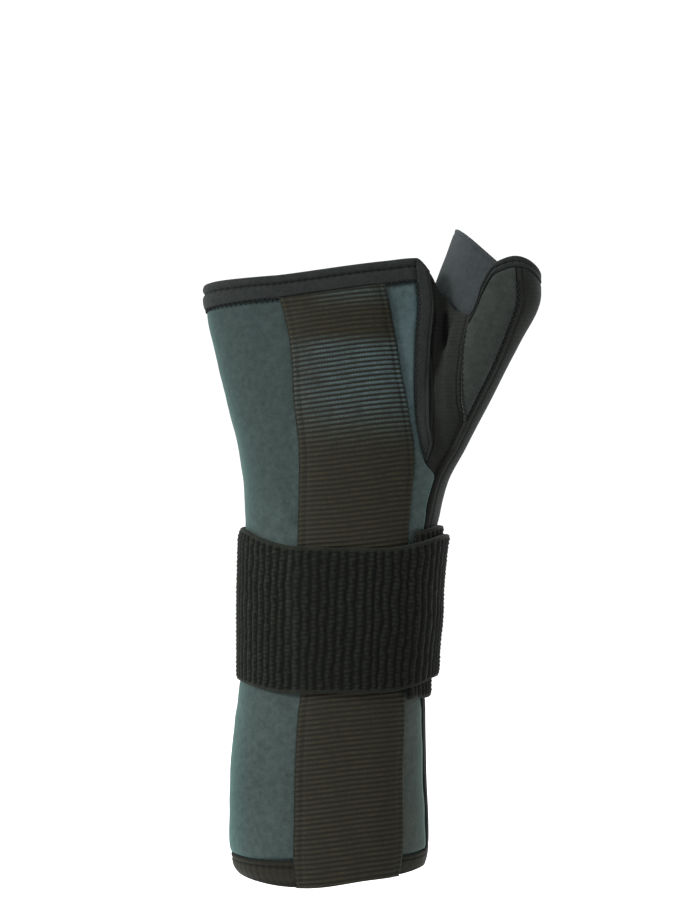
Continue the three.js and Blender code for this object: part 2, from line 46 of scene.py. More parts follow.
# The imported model's sizes, in millimetres. The origin is on the wrist's axis. +Z points to the fingers,
# -Y is the palm side and +X is the thumb side.
HAND_LENGTH = 131.6
FOREARM_LENGTH = 102.4
PALM_ULNAR, WRIST_ULNAR, FOREARM_ULNAR = 52, 36.7, 42
PALM_RADIAL, WRIST_RADIAL, FOREARM_RADIAL = 40, 34, 31.3
PALM_DEPTH, WRIST_DEPTH, FOREARM_DEPTH = 41, 50, 57
PALM_LEAN = 8
THUMB_REACH, THUMB_WIDTH, THUMB_DEPTH, THUMB_FORWARD = 76.4, 32, 35, 5
WEB_DEPTH = 17
WALL, GUSSET_WALL = 3, 1.6
BINDING_PROUD, TAPE_PROUD = 0.9, 0.5
PALM_BINDING, THUMB_BINDING = 8.4, 4
POCKET_THICK, POCKET_EDGE, POCKET_SIDE, POCKET_CROWN = 2.8, 1.3, 0.06, 3
STRAP_THICK, STRAP_WIDTH, STRAP_RISE = 1.9, 57.5, 31
TAB_WIDTH, TAB_START = 40, 1.64
THUMB_STRAP_WIDTH, THUMB_STRAP_THICK, THUMB_STRAP_LONG, THUMB_STRAP_TAPER = 25, 1.5, 30.5, 10.4
THUMB_STRAP_FOLD, THUMB_STRAP_DEEP, THUMB_STRAP_NECK, THUMB_STRAP_SPREAD = 11, 19.6, 8.2, 4.6
THUMB_STRAP_LEAN, THUMB_STRAP_INWARD, THUMB_STRAP_RISE = 43, 2.1, 13.9
SEAT, STRAP_SEAT = 0.4, 0.7
CLOSE = 0.12  # between pieces that are sewn edge to edge
LAYER_RISE = 0.03  # share of a turn over which the strap climbs onto its first layer
FULLNESS, BLEND = 2.5, 5  # powers of the sections' outline, and of the joins between their lobes

# Sections of the sleeve. at: height, in shares of HAND_LENGTH above the wrist and of FOREARM_LENGTH
# below it. ulnar, radial, depth: 0 is the wrist's size, 1 is the palm's or the forearm's.
# lean: share of PALM_LEAN. reach: the stall's outer side, from WRIST_RADIAL (0) to THUMB_REACH (1).
# girth: share of the stall's width. thick: share of its depth. web: share of WEB_DEPTH.
SECTION_KEYS = ("at", "ulnar", "radial", "depth", "lean", "reach", "girth", "thick", "web")
SECTIONS = [
    (-1.0, 0.25, 1.4, 0.82, 0, -0.2, 0.6, 0.9, 0),
    (-0.94, 0.7, 0.6, 0.94, 0, -0.2, 0.6, 0.9, 0),
    (-0.85, 0.96, 0.12, 1.0, 0, -0.2, 0.6, 0.9, 0),
    (-0.6, 0.9, 0.5, 0.86, 0, -0.2, 0.6, 0.9, 0),
    (-0.38, 0.58, 0.62, 0.55, 0, -0.15, 0.6, 0.9, 0),
    (-0.25, 0.0, 0.9, 0.1, 0, -0.1, 0.6, 0.9, 0),
    (0.0, 0.0, 0.0, 0.0, 0, -0.04, 0.7, 0.9, 0),
    (0.26, -0.04, 0.45, -0.06, 0.0, 0.07, 0.75, 0.96, 0),
    (0.36, 0.0, 0.6, -0.06, 0.0, 0.15, 0.8, 1.0, 0.2),
    (0.46, 0.14, 0.67, 0.0, 0.06, 0.312, 0.82, 1.0, 0.5),
    (0.6, 0.44, 0.73, 0.25, 0.3, 0.532, 0.86, 0.98, 0.9),
    (0.75, 0.735, 0.83, 0.65, 0.72, 0.77, 0.92, 0.98, 1.0),
    (0.9, 0.98, 0.97, 0.92, 1.0, 0.982, 1.0, 1.0, 1.0),
    (1.0, 0.94, 1.0, 0.92, 0.95, 0.98, 1.0, 1.0, 1.0),
]
# Where the seams cross the front, in shares of the section's width from the little finger's side.
# The back has the same seams, mirrored.
SEAM_KEYS = ("at", "pocketLeft", "pocketRight", "tape", "gusset", "stall", "side")
SEAMS = [
    (-1.0, 0.322, 0.857, 0.985, 0.985, 0.985, 0.985),
    (-0.7, 0.332, 0.865, 0.985, 0.985, 0.985, 0.985),
    (-0.35, 0.336, 0.882, 0.985, 0.985, 0.985, 0.985),
    (0.0, 0.298, 0.857, 0.955, 0.955, 0.955, 0.955),
    (0.26, 0.282, 0.846, 0.937, 0.937, 0.937, 0.937),
    (0.37, 0.279, 0.824, 0.936, 0.936, 0.936, 0.936),
    (0.415, 0.276, 0.8, 0.856, 0.856, 0.938, 0.938),
    (0.46, 0.273, 0.77, 0.804, 0.847, 0.945, 0.945),
    (0.52, 0.267, 0.728, 0.757, 0.805, 0.946, 0.946),
    (0.59, 0.261, 0.687, 0.72, 0.771, 0.893, 0.947),
    (0.68, 0.26, 0.635, 0.687, 0.735, 0.842, 0.949),
    (0.755, 0.2545, 0.602, 0.667, 0.713, 0.816, 0.945),
    (0.835, 0.24, 0.566, 0.649, 0.693, 0.799, 0.932),
    (0.91, 0.223, 0.543, 0.6365, 0.679, 0.789, 0.923),
    (1.0, 0.218, 0.53, 0.628, 0.668, 0.784, 0.918),
]
# The way round the skin: 0 is the little finger's side, 0.5 the thumb's side, and back to 1.
ROUND = {
    "ulnar": 0,
    "pocketLeft": 0.12,
    "pocketRight": 0.26,
    "tape": 0.3,
    "gusset": 0.33,
    "stall": 0.39,
    "side": 0.46,
    "radial": 0.5,
}
POCKET_LEFT, POCKET_RIGHT, TAPE = ROUND["pocketLeft"], ROUND["pocketRight"], ROUND["tape"]
GUSSET, STALL, SIDE, THUMB_SIDE = ROUND["gusset"], ROUND["stall"], ROUND["side"], ROUND["radial"]

# Heights of the rims, in shares of HAND_LENGTH and FOREARM_LENGTH: a seam, the share of the way on to
# the next seam, and the height there.
UPPER_RIM = [
    ("ulnar", 0, 0.925),
    ("pocketLeft", 0, 0.949),
    ("pocketRight", 0, 0.99),
    ("tape", 0, 1.0),
    ("gusset", 0, 0.963),
    ("gusset", 0.25, 0.905),
    ("gusset", 0.6, 0.848),
    ("stall", 0, 0.838),
    ("stall", 0.2, 0.922),
    ("stall", 0.5, 0.98),
    ("side", 0, 0.998),
    ("radial", 0, 0.955),
]
LOWER_RIM = [
    ("ulnar", 0, -0.975),
    ("pocketLeft", 0, -1.0),
    ("pocketRight", 0, -0.965),
    ("tape", 0, -0.95),
    ("side", 0, -0.95),
    ("radial", 0, -0.94),
]
GUSSET_START, TAPE_START, STALL_START = 0.375, 0.422, 0.53  # the seams run together below these

# The wrist strap along its winding. turn: the way round, 1 more on the second layer. drop: how far its
# upper edge lies below STRAP_RISE, and wide: its width there, both in shares of STRAP_WIDTH.
STRAP_KEYS = ("turn", "drop", "wide")
STRAP_PATH = [
    (0.385, 0.03, 1.09),
    (0.47, -0.005, 1.13),
    (0.56, -0.005, 1.1),
    (0.75, 0.0, 1.02),
    (1.02, 0.015, 1.0),
    (1.18, 0.13, 0.95),
    (1.32, 0.14, 0.937),
    (1.47, 0.05, 0.94),
    (1.75, 0.05, 0.94),
]
STRAP_START, STRAP_END = STRAP_PATH[0][0], STRAP_PATH[-1][0]

SPEED_STEP, NORMAL_STEP = 0.02, 0.03  # radians to each side, for slopes along the face
LEAST_SPEED = 8  # mm for each radian
WAVES, RIPPLE_PEAK = (0.7, 1.6), 1.4  # a ripple's shortest and longest wave, and its highest crest
PLAIN, INSIDE = 0.8, 0.6  # how far plain cloth and the inside stand up, from 0 to 1; below 0.75 the materials paint groove shade, a little of it on the inside
COARSE_ACROSS, COARSE_UP = 4, 5  # the inside's grid has one cell for so many of the outside's
THREAD_SIDES, THREAD_POINTS, THREAD_ARCH = 6, 3, 0.12  # points in half a zigzag, and how high it arches


def ease(t):
    t = np.clip(t, 0, 1)
    return t * t * (3 - 2 * t)


def mix(a, b, t):
    return a + (b - a) * t


def curve(rows, keys):
    """Each column of a table as a smooth function of its first column."""
    data = np.array(rows, float)
    xs = data[:, 0]
    made = {}
    for k, key in enumerate(keys[1:], 1):
        ys = data[:, k]
        chord = np.diff(ys) / np.diff(xs)
        slope = np.zeros(len(xs))
        a, b = chord[:-1], chord[1:]
        same = a * b > 0
        slope[1:-1][same] = 2 * a[same] * b[same] / (a[same] + b[same])

        def read(t, ys=ys, slope=slope):
            t = np.clip(t, xs[0], xs[-1])
            i = np.clip(np.searchsorted(xs, t, side="left") - 1, 0, len(xs) - 2)
            span = xs[i + 1] - xs[i]
            s = (t - xs[i]) / span
            rise = ys[i + 1] - ys[i]
            bend = (1 - s) * slope[i] - s * slope[i + 1]
            return ys[i] + s * s * (3 - 2 * s) * rise + s * (1 - s) * span * bend

        made[key] = read
    return made


section = curve(SECTIONS, SECTION_KEYS)
seams = curve(SEAMS, SEAM_KEYS)
path = curve(STRAP_PATH, STRAP_KEYS)
names = list(ROUND)


def rim(rows):
    """A rim's height as a smooth function of the way round."""
    placed = []
    for seam, past, top in rows:
        follow = names[min(names.index(seam) + 1, len(names) - 1)]
        placed.append((mix(ROUND[seam], ROUND[follow], past), top))
    return curve(placed, ("at", "top"))["top"]


UPPER, LOWER = rim(UPPER_RIM), rim(LOWER_RIM)


def front_of(way):
    """The way round on the front that a way on the back mirrors."""
    turn = way - np.floor(way)
    return np.minimum(turn, 1 - turn)


def upper(way):
    return HAND_LENGTH * UPPER(front_of(way))


def lower(way):
    return FOREARM_LENGTH * LOWER(front_of(way))


def share(z):
    return np.where(z < 0, z / FOREARM_LENGTH, z / HAND_LENGTH)


def lobes_at(z):
    """Sizes of the hand and the thumb in the sections at heights."""
    at = share(z)
    s = {key: section[key](at) for key in SECTION_KEYS[1:]}
    above = z > 0
    s["left"] = mix(WRIST_ULNAR, np.where(above, PALM_ULNAR, FOREARM_ULNAR), s["ulnar"])
    radial = mix(WRIST_RADIAL, np.where(above, PALM_RADIAL, FOREARM_RADIAL), s["radial"])
    reach = mix(WRIST_RADIAL, THUMB_REACH, s["reach"])
    s["right"] = np.maximum(radial, reach)
    s["depth"] = mix(WRIST_DEPTH, np.where(above, PALM_DEPTH, FOREARM_DEPTH), s["depth"])
    s["half"] = THUMB_WIDTH / 2 * s["girth"]
    s["thumb"] = reach - s["half"]
    s["hand"], s["hand_half"] = (radial - s["left"]) / 2, (radial + s["left"]) / 2
    return s


def middle_y(x, s):
    """The middle between front and back."""
    inward = s["hand"] + s["hand_half"] / 2
    to_thumb = ease((x - inward) / np.maximum(s["thumb"] - inward, 1))
    return mix(PALM_LEAN * s["lean"], -THUMB_FORWARD * s["lean"], to_thumb)


def face(angle, z):
    """Points of the sleeve's outer face, at the angles and heights of two arrays."""
    s = lobes_at(z)
    x = -s["left"] + (s["right"] + s["left"]) * (1 - np.cos(angle)) / 2

    def lobe(middle, wide, deep):
        off = np.clip(np.abs((x - middle) / np.maximum(wide, 1e-6)), 0, 1)
        return deep * (1 - off**FULLNESS) ** (1 / FULLNESS)

    lobes = [
        lobe(s["hand"], s["hand_half"], s["depth"] / 2),
        lobe(s["thumb"], s["half"], THUMB_DEPTH / 2 * s["thick"]),
        lobe((s["hand"] + s["thumb"]) / 2, (s["thumb"] - s["hand"]) / 2, WEB_DEPTH / 2 * s["web"]),
    ]
    deep = sum(f**BLEND for f in lobes) ** (1 / BLEND)
    return np.stack([x, middle_y(x, s) - deep * np.where(np.sin(angle) < 0, -1, 1), z], -1)


def lay(angle, z, nudge=0):
    """Points and outward normals of the face. nudge slides them round, in mm."""
    if np.any(nudge):
        apart = face(angle + SPEED_STEP, z) - face(angle - SPEED_STEP, z)
        speed = np.linalg.norm(apart, axis=-1) / (2 * SPEED_STEP)
        angle = angle + nudge / np.maximum(speed, LEAST_SPEED)
    across = face(angle + NORMAL_STEP, z) - face(angle - NORMAL_STEP, z)
    along = face(angle, z + 1) - face(angle, z - 1)
    normal = np.cross(across, along)
    return face(angle, z), normal / np.linalg.norm(normal, axis=-1, keepdims=True)


def angle_of(way, z):
    """The angles of ways round the skin, at heights."""
    front = front_of(way)
    at = share(z)
    seam_angles = [np.arccos(1 - 2 * seams[name](at)) for name in names[1:-1]]
    stops = [np.zeros_like(at)] + seam_angles + [np.full_like(at, math.pi)]
    angle = np.zeros_like(at)
    for k in range(len(names) - 1):
        a, b = ROUND[names[k]], ROUND[names[k + 1]]
        here = (front >= a) & (front <= b)
        angle = np.where(here, mix(stops[k], stops[k + 1], (front - a) / (b - a)), angle)
    turn = way - np.floor(way)
    return np.where(turn <= 0.5, angle, 2 * math.pi - angle)


def ways(stops, counts):
    """Ways round between stops, with a count of steps from each stop to the next."""
    found = [np.linspace(a, b, n, endpoint=False) for a, b, n in zip(stops, stops[1:], counts)]
    return np.concatenate(found + [[stops[-1]]])


Edges = namedtuple("Edges", "left right low high")


def to_edges(points):
    """How far each point of a grid is from each of its edges, in mm along the grid."""
    along = np.linalg.norm(np.diff(points, axis=1), axis=-1)
    up = np.linalg.norm(np.diff(points, axis=0), axis=-1)
    left = np.concatenate([np.zeros((len(points), 1)), np.cumsum(along, 1)], 1)
    low = np.concatenate([np.zeros((1, points.shape[1])), np.cumsum(up, 0)], 0)
    return Edges(left, left[:, -1:] - left, low, low[-1:] - low)


def roll(distance, radius):
    """How far a rounded edge falls away, at a distance from it."""
    t = np.clip(1 - distance / radius, 0, 1)
    return radius * (1 - np.sqrt(1 - t * t))


def ripple(x, y, seed, scale, count=9):
    """A soft irregular field of about -1 to 1. scale is its wavelength in mm."""
    rng = np.random.default_rng(seed)
    field = np.zeros_like(x)
    for _ in range(count):
        turn, phase = rng.uniform(0, math.tau), rng.uniform(0, math.tau)
        wave = scale * rng.uniform(*WAVES)
        field += np.sin((x * math.cos(turn) + y * math.sin(turn)) * math.tau / wave + phase)
    return field / math.sqrt(count) / RIPPLE_PEAK


def zipped(a, ta, b, tb, flip):
    """Triangles between two chains of vertices. ta and tb say how far along each vertex is."""
    i = j = 0
    faces = []
    while i < len(a) - 1 or j < len(b) - 1:
        if j == len(b) - 1 or (i < len(a) - 1 and ta[i + 1] <= tb[j + 1]):
            tri = (b[j], a[i + 1], a[i])
            i += 1
        else:
            tri = (b[j], b[j + 1], a[i])
            j += 1
        faces.append(tri[::-1] if flip else tri)
    return faces


def make(name, points, faces, uv=None, ridge=None):
    """An object from points in mm. Its attribute ridge says how far each point stands up; the materials
    paint shade where it is low.
    """
    mesh = bpy.data.meshes.new(name)
    mesh.from_pydata((np.asarray(points) * MM).tolist(), [], faces)
    mesh.polygons.foreach_set("use_smooth", [True] * len(mesh.polygons))
    if uv is not None:
        corner = np.zeros(len(mesh.loops), int)
        mesh.loops.foreach_get("vertex_index", corner)
        layer = mesh.uv_layers.new(name="cloth")
        layer.data.foreach_set("uv", (np.asarray(uv)[corner] * MM).ravel())
    if ridge is None:
        ridge = np.full(len(mesh.vertices), PLAIN)
    stands = mesh.attributes.new("ridge", "FLOAT", "POINT")
    stands.data.foreach_set("value", np.asarray(ridge, np.float32))
    mesh.update()
    made = bpy.data.objects.new(name, mesh)
    scene.collection.objects.link(made)
    return made


def closed(name, outer, inner, ring=False, ridge=None):
    """A closed piece between a fine outer grid and a coarser inner one, rows by columns."""

    def numbered(grid, start):
        rows, columns = grid.shape[:2]
        index = start + np.arange(rows * columns).reshape(rows, columns)
        return np.concatenate([index, index[:, :1]], 1) if ring else index

    a, b = numbered(outer, 0), numbered(inner, outer[..., 0].size)
    quads = np.stack([a[:-1, :-1], a[:-1, 1:], a[1:, 1:], a[1:, :-1]], -1).reshape(-1, 4)
    back = np.stack([b[:-1, :-1], b[1:, :-1], b[1:, 1:], b[:-1, 1:]], -1).reshape(-1, 4)
    faces = quads.tolist() + back.tolist()
    across, within = np.linspace(0, 1, a.shape[1]), np.linspace(0, 1, b.shape[1])
    up, inside = np.linspace(0, 1, a.shape[0]), np.linspace(0, 1, b.shape[0])
    faces += zipped(a[0], across, b[0], within, False) + zipped(a[-1], across, b[-1], within, True)
    if not ring:
        faces += zipped(a[:, 0], up, b[:, 0], inside, True) + zipped(a[:, -1], up, b[:, -1], inside, False)
    uv = []
    for grid in (outer, inner):
        uv.append(np.stack([to_edges(grid).left, grid[..., 2]], -1).reshape(-1, 2))
    points = np.concatenate([outer.reshape(-1, 3), inner.reshape(-1, 3)])
    high = np.full(outer.shape[:2], PLAIN) if ridge is None else np.clip(ridge, 0, 1)
    high = np.concatenate([high.ravel(), np.full(inner[..., 0].size, INSIDE)])
    return make(name, points, faces, np.concatenate(uv), high)


def thin(values, most):
    """A coarser run through the same ends."""
    return values[np.unique(np.round(np.linspace(0, len(values) - 1, most)).astype(int))]


def panel(name, across, low, high, rows, outer, edge, inner=-WALL, ring=False, gap=CLOSE / 2):
    """A panel of the wall. inner is a distance off the face. outer is a function of the grid's ways
    round, heights, points and distances to its edges. It gives a distance, and how much it stands up,
    whose low values the materials paint as shade. edge is the radius of the panel's rounded edge, and gap
    what it keeps from its neighbours."""

    def grid(ways_round, count):
        up = np.linspace(0, 1, count + 1)[:, None]
        way = np.broadcast_to(ways_round[None, :], (count + 1, len(ways_round)))
        z = mix(low(way), high(way), up)
        nudge = np.zeros_like(z)
        if not ring:
            nudge[:, 0], nudge[:, -1] = gap, -gap
        points, normal = lay(angle_of(way, z), z, nudge)
        return way, z, points, normal

    way, z, points, normal = grid(across, rows)
    edges = to_edges(points)
    off, ridge = outer(way, z, points, edges)
    nearest = np.minimum(edges.low, edges.high)
    if not ring:
        nearest = np.minimum(nearest, np.minimum(edges.left, edges.right))
    off = off - roll(nearest, edge)
    front = points + normal * off[..., None]
    few = thin(across, max(4, len(across) // COARSE_ACROSS))
    _, _, points, normal = grid(few, max(2, rows // COARSE_UP))
    return closed(name, front, points + normal * inner, ring, ridge)


def tube(points, normals, radius):
    """Vertices and faces of a thread along a line."""
    tangent = np.gradient(points, axis=0)
    tangent /= np.linalg.norm(tangent, axis=1, keepdims=True) + 1e-9
    side = np.cross(tangent, normals)
    side /= np.linalg.norm(side, axis=1, keepdims=True) + 1e-9
    up = np.cross(side, tangent)
    turn = (np.arange(THREAD_SIDES) / THREAD_SIDES * math.tau)[None, :, None]
    rings = points[:, None] + radius * (np.cos(turn) * side[:, None] + np.sin(turn) * up[:, None])
    index = np.arange(len(points) * THREAD_SIDES).reshape(len(points), THREAD_SIDES)
    follow = np.roll(index, -1, 1)
    faces = np.stack([index[:-1], index[1:], follow[1:], follow[:-1]], -1).reshape(-1, 4).tolist()
    faces += [index[0].tolist(), index[-1][::-1].tolist()]
    return rings.reshape(-1, 3), faces


def threads(name, lines, radius):
    """One piece of several threads. Each line is its points and the cloth's normals there."""
    points, faces, start = [], [], 0
    for line, normals in lines:
        found, quads = tube(line, normals, radius)
        points.append(found)
        faces += [[start + k for k in f] for f in quads]
        start += len(found)
    return make(name, np.concatenate(points), faces)


def zigzag(way, z, off, pitch, reach):
    """A zigzag line over a seam, whose path is given by ways round and heights. off is how far it lies
    off the face, and reach how far it goes to each side."""
    base, normal = lay(angle_of(way, z), z)
    length = np.concatenate([[0], np.cumsum(np.linalg.norm(np.diff(base, axis=0), axis=1))])
    steps = int(length[-1] / pitch * 2)
    at = np.linspace(0, length[-1], steps * THREAD_POINTS + 1)
    spread = [np.interp(at, length, base[:, k]) for k in range(3)]
    normals = np.stack([np.interp(at, length, normal[:, k]) for k in range(3)], -1)
    normals /= np.linalg.norm(normals, axis=1, keepdims=True)
    line = np.stack(spread, -1)
    tangent = np.gradient(line, axis=0)
    side = np.cross(normals, tangent)
    side /= np.linalg.norm(side, axis=1, keepdims=True)
    saw = np.abs((at / pitch) % 1 * 2 - 1) * 2 - 1
    lift = off + THREAD_ARCH * np.cos(saw * math.pi / 2)
    return line + side * (saw * reach)[:, None] + normals * lift[:, None], normals


# Lines and shapes that several pieces share.
HEM_FOLDS = [(0, 7.2), (0.06, 8.4), (0.12, 9.8), (0.26, 7.2), (0.3, 6.4), (0.5, 6.6)]
HEM_PULL, HEM_PULL_AT, HEM_PULL_WIDE = 1.4, 0.21, 0.045  # how far, and where in ways round
hem_height = curve(HEM_FOLDS, ("at", "up"))["up"]
palm_stops = [-TAPE, -POCKET_RIGHT, -POCKET_LEFT, 0, POCKET_LEFT, POCKET_RIGHT, TAPE]
sleeve_ways = ways(palm_stops, [9, 48, 40, 40, 48, 9])


def bump(x, middle, wide):
    return np.exp(-(((x - middle) / wide) ** 2))


def hem_line(way):
    """The forearm rim, drawn up a little where the pocket pulls it."""
    return lower(way) + HEM_PULL * bump(way % 1, HEM_PULL_AT, HEM_PULL_WIDE)


def above_binding(way):
    return hem_line(way) + hem_height(front_of(way)) + CLOSE


def below_binding(way):
    return upper(way) - PALM_BINDING - CLOSE


def below_thumb_binding(way, gap=CLOSE):
    return upper(way) - THUMB_BINDING - gap


def raised(level):
    """A level line, at a share of HAND_LENGTH."""
    return lambda way: level * HAND_LENGTH + 0 * way


def mirrored(name, a, b):
    """A name and two ways on the front, and the same mirrored on the back."""
    return (name.format("front"), a, b), (name.format("back"), 1 - b, 1 - a)


def across_share(angle):
    return (1 - np.cos(angle)) / 2


def pocket_face(across, at, edge=POCKET_EDGE):
    """How far off the sleeve the pocket's face is, and beside it the way down to the sleeve."""
    left, right = seams["pocketLeft"](at), seams["pocketRight"](at)
    u = (across - left) / (right - left)
    inside = SEAT + mix(edge, POCKET_THICK, 1 - np.abs(2 * np.clip(u, 0, 1) - 1) ** POCKET_CROWN)
    away = np.where(u < 0, left - across, across - right)
    return np.where((u >= 0) & (u <= 1), inside, (SEAT + POCKET_EDGE) * (1 - ease(away / POCKET_SIDE)))


# The sleeve, with its swells on the little finger's side as (height, half width, how far).
SWELLS = [(-28.5, 5, 1.2), (101, 12, 0.5)]
SWELL_EDGE, SWELL_BLEND, SWELL_LEAST = -10, 30, 0.1  # they grow from this x outwards
GATHERS, GATHER_WIDE, GATHER_HIGH = (34, -35), 4, 0.35  # above and below the wrist strap
DENT_DEEP = 1.2
SEWN_WIDE, SEWN_DEEP = 1.5, 0.3


def sleeve_relief(way, z, points, edges):
    x = points[..., 0]
    front = np.where(way % 1 < 0.5, 1, 0)
    ulnar = ease((SWELL_EDGE - x) / SWELL_BLEND)
    off = 0.3 * ripple(x + 20 * front, z, seed=3, scale=46) - 0.2
    off += 0.12 * ripple(x + 30 * front, z, seed=5, scale=14)
    off += ulnar * (SWELL_LEAST + sum(far * bump(z, at, wide) for at, wide, far in SWELLS))
    gather = sum(bump(z, at, GATHER_WIDE) for at in GATHERS)
    off += GATHER_HIGH * gather * np.sin(x * 0.5 + np.sin(z / 3))
    off -= DENT_DEEP * front * bump(x, middle=-21, wide=8) * bump(z, middle=29, wide=4.5)
    seam = bump(np.minimum(edges.low, edges.high), middle=0, wide=SEWN_WIDE)
    # painted shade along the seams at the panel's upper and lower edges
    return off - SEWN_DEEP * seam, 0.85 - 0.5 * seam


sleeve = panel("sleeve_cloth", sleeve_ways, above_binding, below_binding, 230, sleeve_relief, edge=1.2)

# The side panel, fuller between two heights.
SIDE_FULL, SIDE_FLATTER, SIDE_BLEND = 28, 98, 8
SIDE_LINE, SIDE_LINE_WIDE = 2.4, 0.45  # a sewn line, off both edges


def side_relief(way, z, points, edges):
    line = bump(np.minimum(edges.left, edges.right), SIDE_LINE, SIDE_LINE_WIDE)
    off = 0.18 * ripple(points[..., 1], z, seed=8, scale=22) + 0.1
    off += 0.5 * ease((z - SIDE_FULL) / SIDE_BLEND) - 0.3 * ease((z - SIDE_FLATTER) / SIDE_BLEND)
    # painted shade in the sewn lines
    return off - 0.45 * line, 0.8 - 0.5 * line


side_ways = ways([SIDE, THUMB_SIDE, 1 - SIDE], [26, 26])
side = panel("side_cloth", side_ways, above_binding, below_thumb_binding, 230, side_relief, edge=0.7)

# The tapes beside the thumb, with a line of stitches along one edge and a ribbed fold along the other.
TAPE_LINE, TAPE_RIB, TAPE_FOLD = 1.4, 1.9, 2  # the line's distance, the ribs' pitch, the fold's width


def tape_relief(way, z, points, edges):
    line = bump(edges.right, TAPE_LINE, wide=0.4)
    rib = np.sin(z * math.tau / TAPE_RIB) * bump(edges.left, 0, TAPE_FOLD)
    # painted shade in the line of stitches
    return TAPE_PROUD + 0.06 * rib - 0.25 * line, 0.85 - 0.5 * line


tapes = [
    panel(name, ways([a, b], [16]), raised(TAPE_START), upper, 140, tape_relief, edge=0.6)
    for name, a, b in mirrored("web_tape_{}_cloth", TAPE, GUSSET)
]

# The gussets: knit rows, pleats that open upwards, and two creases as (share of the width, its
# half width, height, half height).
GUSSET_ROW, PLEATS, PLEATS_FROM, PLEATS_BLEND = 1.5, 2.2, 62, 30  # PLEATS is how many there are
CREASES = [(0.1, 0.05, 103, 10), (0.4, 0.055, 105, 8)]
CREASE_DEEP, CREASE_FADE = 0.7, 3
GUSSET_LINE_TOP = 101


def gusset_relief(way, z, points, edges):
    t = edges.left / np.maximum(edges.left + edges.right, 1)
    pleat = np.sin(t * math.tau * PLEATS + 0.6 * np.sin(z / 9)) * ease((z - PLEATS_FROM) / PLEATS_BLEND)
    knit = np.sin(z * math.tau / GUSSET_ROW)
    crease = np.zeros_like(t)
    for at, wide, height, reach in CREASES:
        crease += bump(t, at, wide) * ease((reach - abs(z - height)) / CREASE_FADE)
    line = bump(t, 0.13, wide=0.02) * ease((GUSSET_LINE_TOP - z) / 8) + 0.8 * bump(t, 0.9, wide=0.02)
    off = GUSSET_WALL - WALL + 0.3 * pleat + 0.06 * knit
    off += 0.15 * ripple(points[..., 0], z, seed=12, scale=9) - CREASE_DEEP * crease - 0.4 * line
    # painted shade in the creases and sewn lines, and a little in the hollows of the pleats and knit rows
    return off, 0.74 + 0.08 * pleat + 0.08 * knit - CREASE_DEEP * crease - 0.6 * line


gussets = [
    panel(name, ways([a, b], [48]), raised(GUSSET_START), upper, 240, gusset_relief, edge=0.5)
    for name, a, b in mirrored("web_gusset_{}_cloth", GUSSET, STALL)
]

# The thumb stall's padded panels, fullest away from their seams.
STALL_FULL, STALL_BLEND = 0.5, 4  # how far they swell, and from the seams over how much


def stall_relief(way, z, points, edges):
    near = np.minimum(edges.left, edges.right)
    off = 0.1 + STALL_FULL * (1 - np.exp(-near / STALL_BLEND))
    off += 0.1 * ripple(points[..., 0], z, seed=15, scale=12)
    # painted shade along the seams
    return off, 0.85 - 0.4 * bump(near, middle=0, wide=0.8)


def stall_top(way):
    return below_thumb_binding(way, 2 * CLOSE)


stalls = [
    panel(name, ways([a, b], [40]), raised(STALL_START), stall_top, 120, stall_relief, edge=1.0)
    for name, a, b in mirrored("stall_panel_{}_cloth", STALL, SIDE)
]

# The splint pocket, in webbing whose ribs lean a little.
RIB, RIB_TILT, RIB_HIGH = 1.8, -0.115, 0.36
POCKET_LINE, POCKET_SIDE_EDGE, POCKET_TOP, POCKET_TOP_BLEND = 2.7, 0.9, 0.7, 10


def pocket_relief(way, z, points, edges):
    x = points[..., 0]
    base = pocket_face(across_share(angle_of(way, z)), share(z), edge=POCKET_SIDE_EDGE)
    base = mix(POCKET_TOP, base, mix(0.2, 1, ease(edges.high / POCKET_TOP_BLEND)))
    run = z + RIB_TILT * x + 0.25 * np.sin(x / 9 + z / 31)
    near = np.minimum(edges.left, edges.right)
    line = bump(near, POCKET_LINE, wide=0.4)
    rib = np.sin(run * math.pi / RIB) ** 2 * ease(near / 0.8)
    rib = rib * (0.85 + 0.15 * ripple(x, z, seed=23, scale=5))
    off = base + RIB_HIGH * (rib - 0.6) + 0.2 * ripple(x, z, seed=21, scale=38) - 0.35 * line
    # painted shade between the ribs and in the sewn lines
    return off, rib - 0.35 * line


pocket_ways = ways([POCKET_LEFT, POCKET_RIGHT], [46])
pocket = panel(
    "pocket_cloth", pocket_ways, hem_line, below_binding, 1020, pocket_relief, edge=0.5, inner=SEAT, gap=0
)

# The bindings, and how far each stands out from its foot (0) to its top (1).
ROLLED = [
    (0, 0.35),
    (0.06, 0.75),
    (0.25, 1.0),
    (0.45, 0.95),
    (0.55, 0.5),
    (0.61, -0.1),
    (0.67, 0.5),
    (0.75, 0.95),
    (0.84, 1.05),
    (0.94, 0.8),
    (1, 0.3),
]
FOLDED = [
    (0, -0.4),
    (0.08, 0.1),
    (0.35, 0.7),
    (0.68, 0.6),
    (0.79, -0.4),
    (0.86, 0.5),
    (0.94, 0.4),
    (1, -0.4),
]
RIDGED = [
    (0, 0.0),
    (0.12, 0.8),
    (0.28, 1.0),
    (0.42, 0.7),
    (0.5, -0.1),
    (0.58, 0.7),
    (0.75, 1.0),
    (0.9, 0.8),
    (1, 0.1),
]
PUCKER = 2.6  # from one pucker to the next
FLAT_SIDE, FLAT_SHARE = 0.43, 0.35  # bindings lie flatter past this way round, at the thumb's side
HEM_PROUD = 0.5
CORNER_LIFT, CORNER_AT, CORNER_WIDE = 1.1, 0.03, 0.06


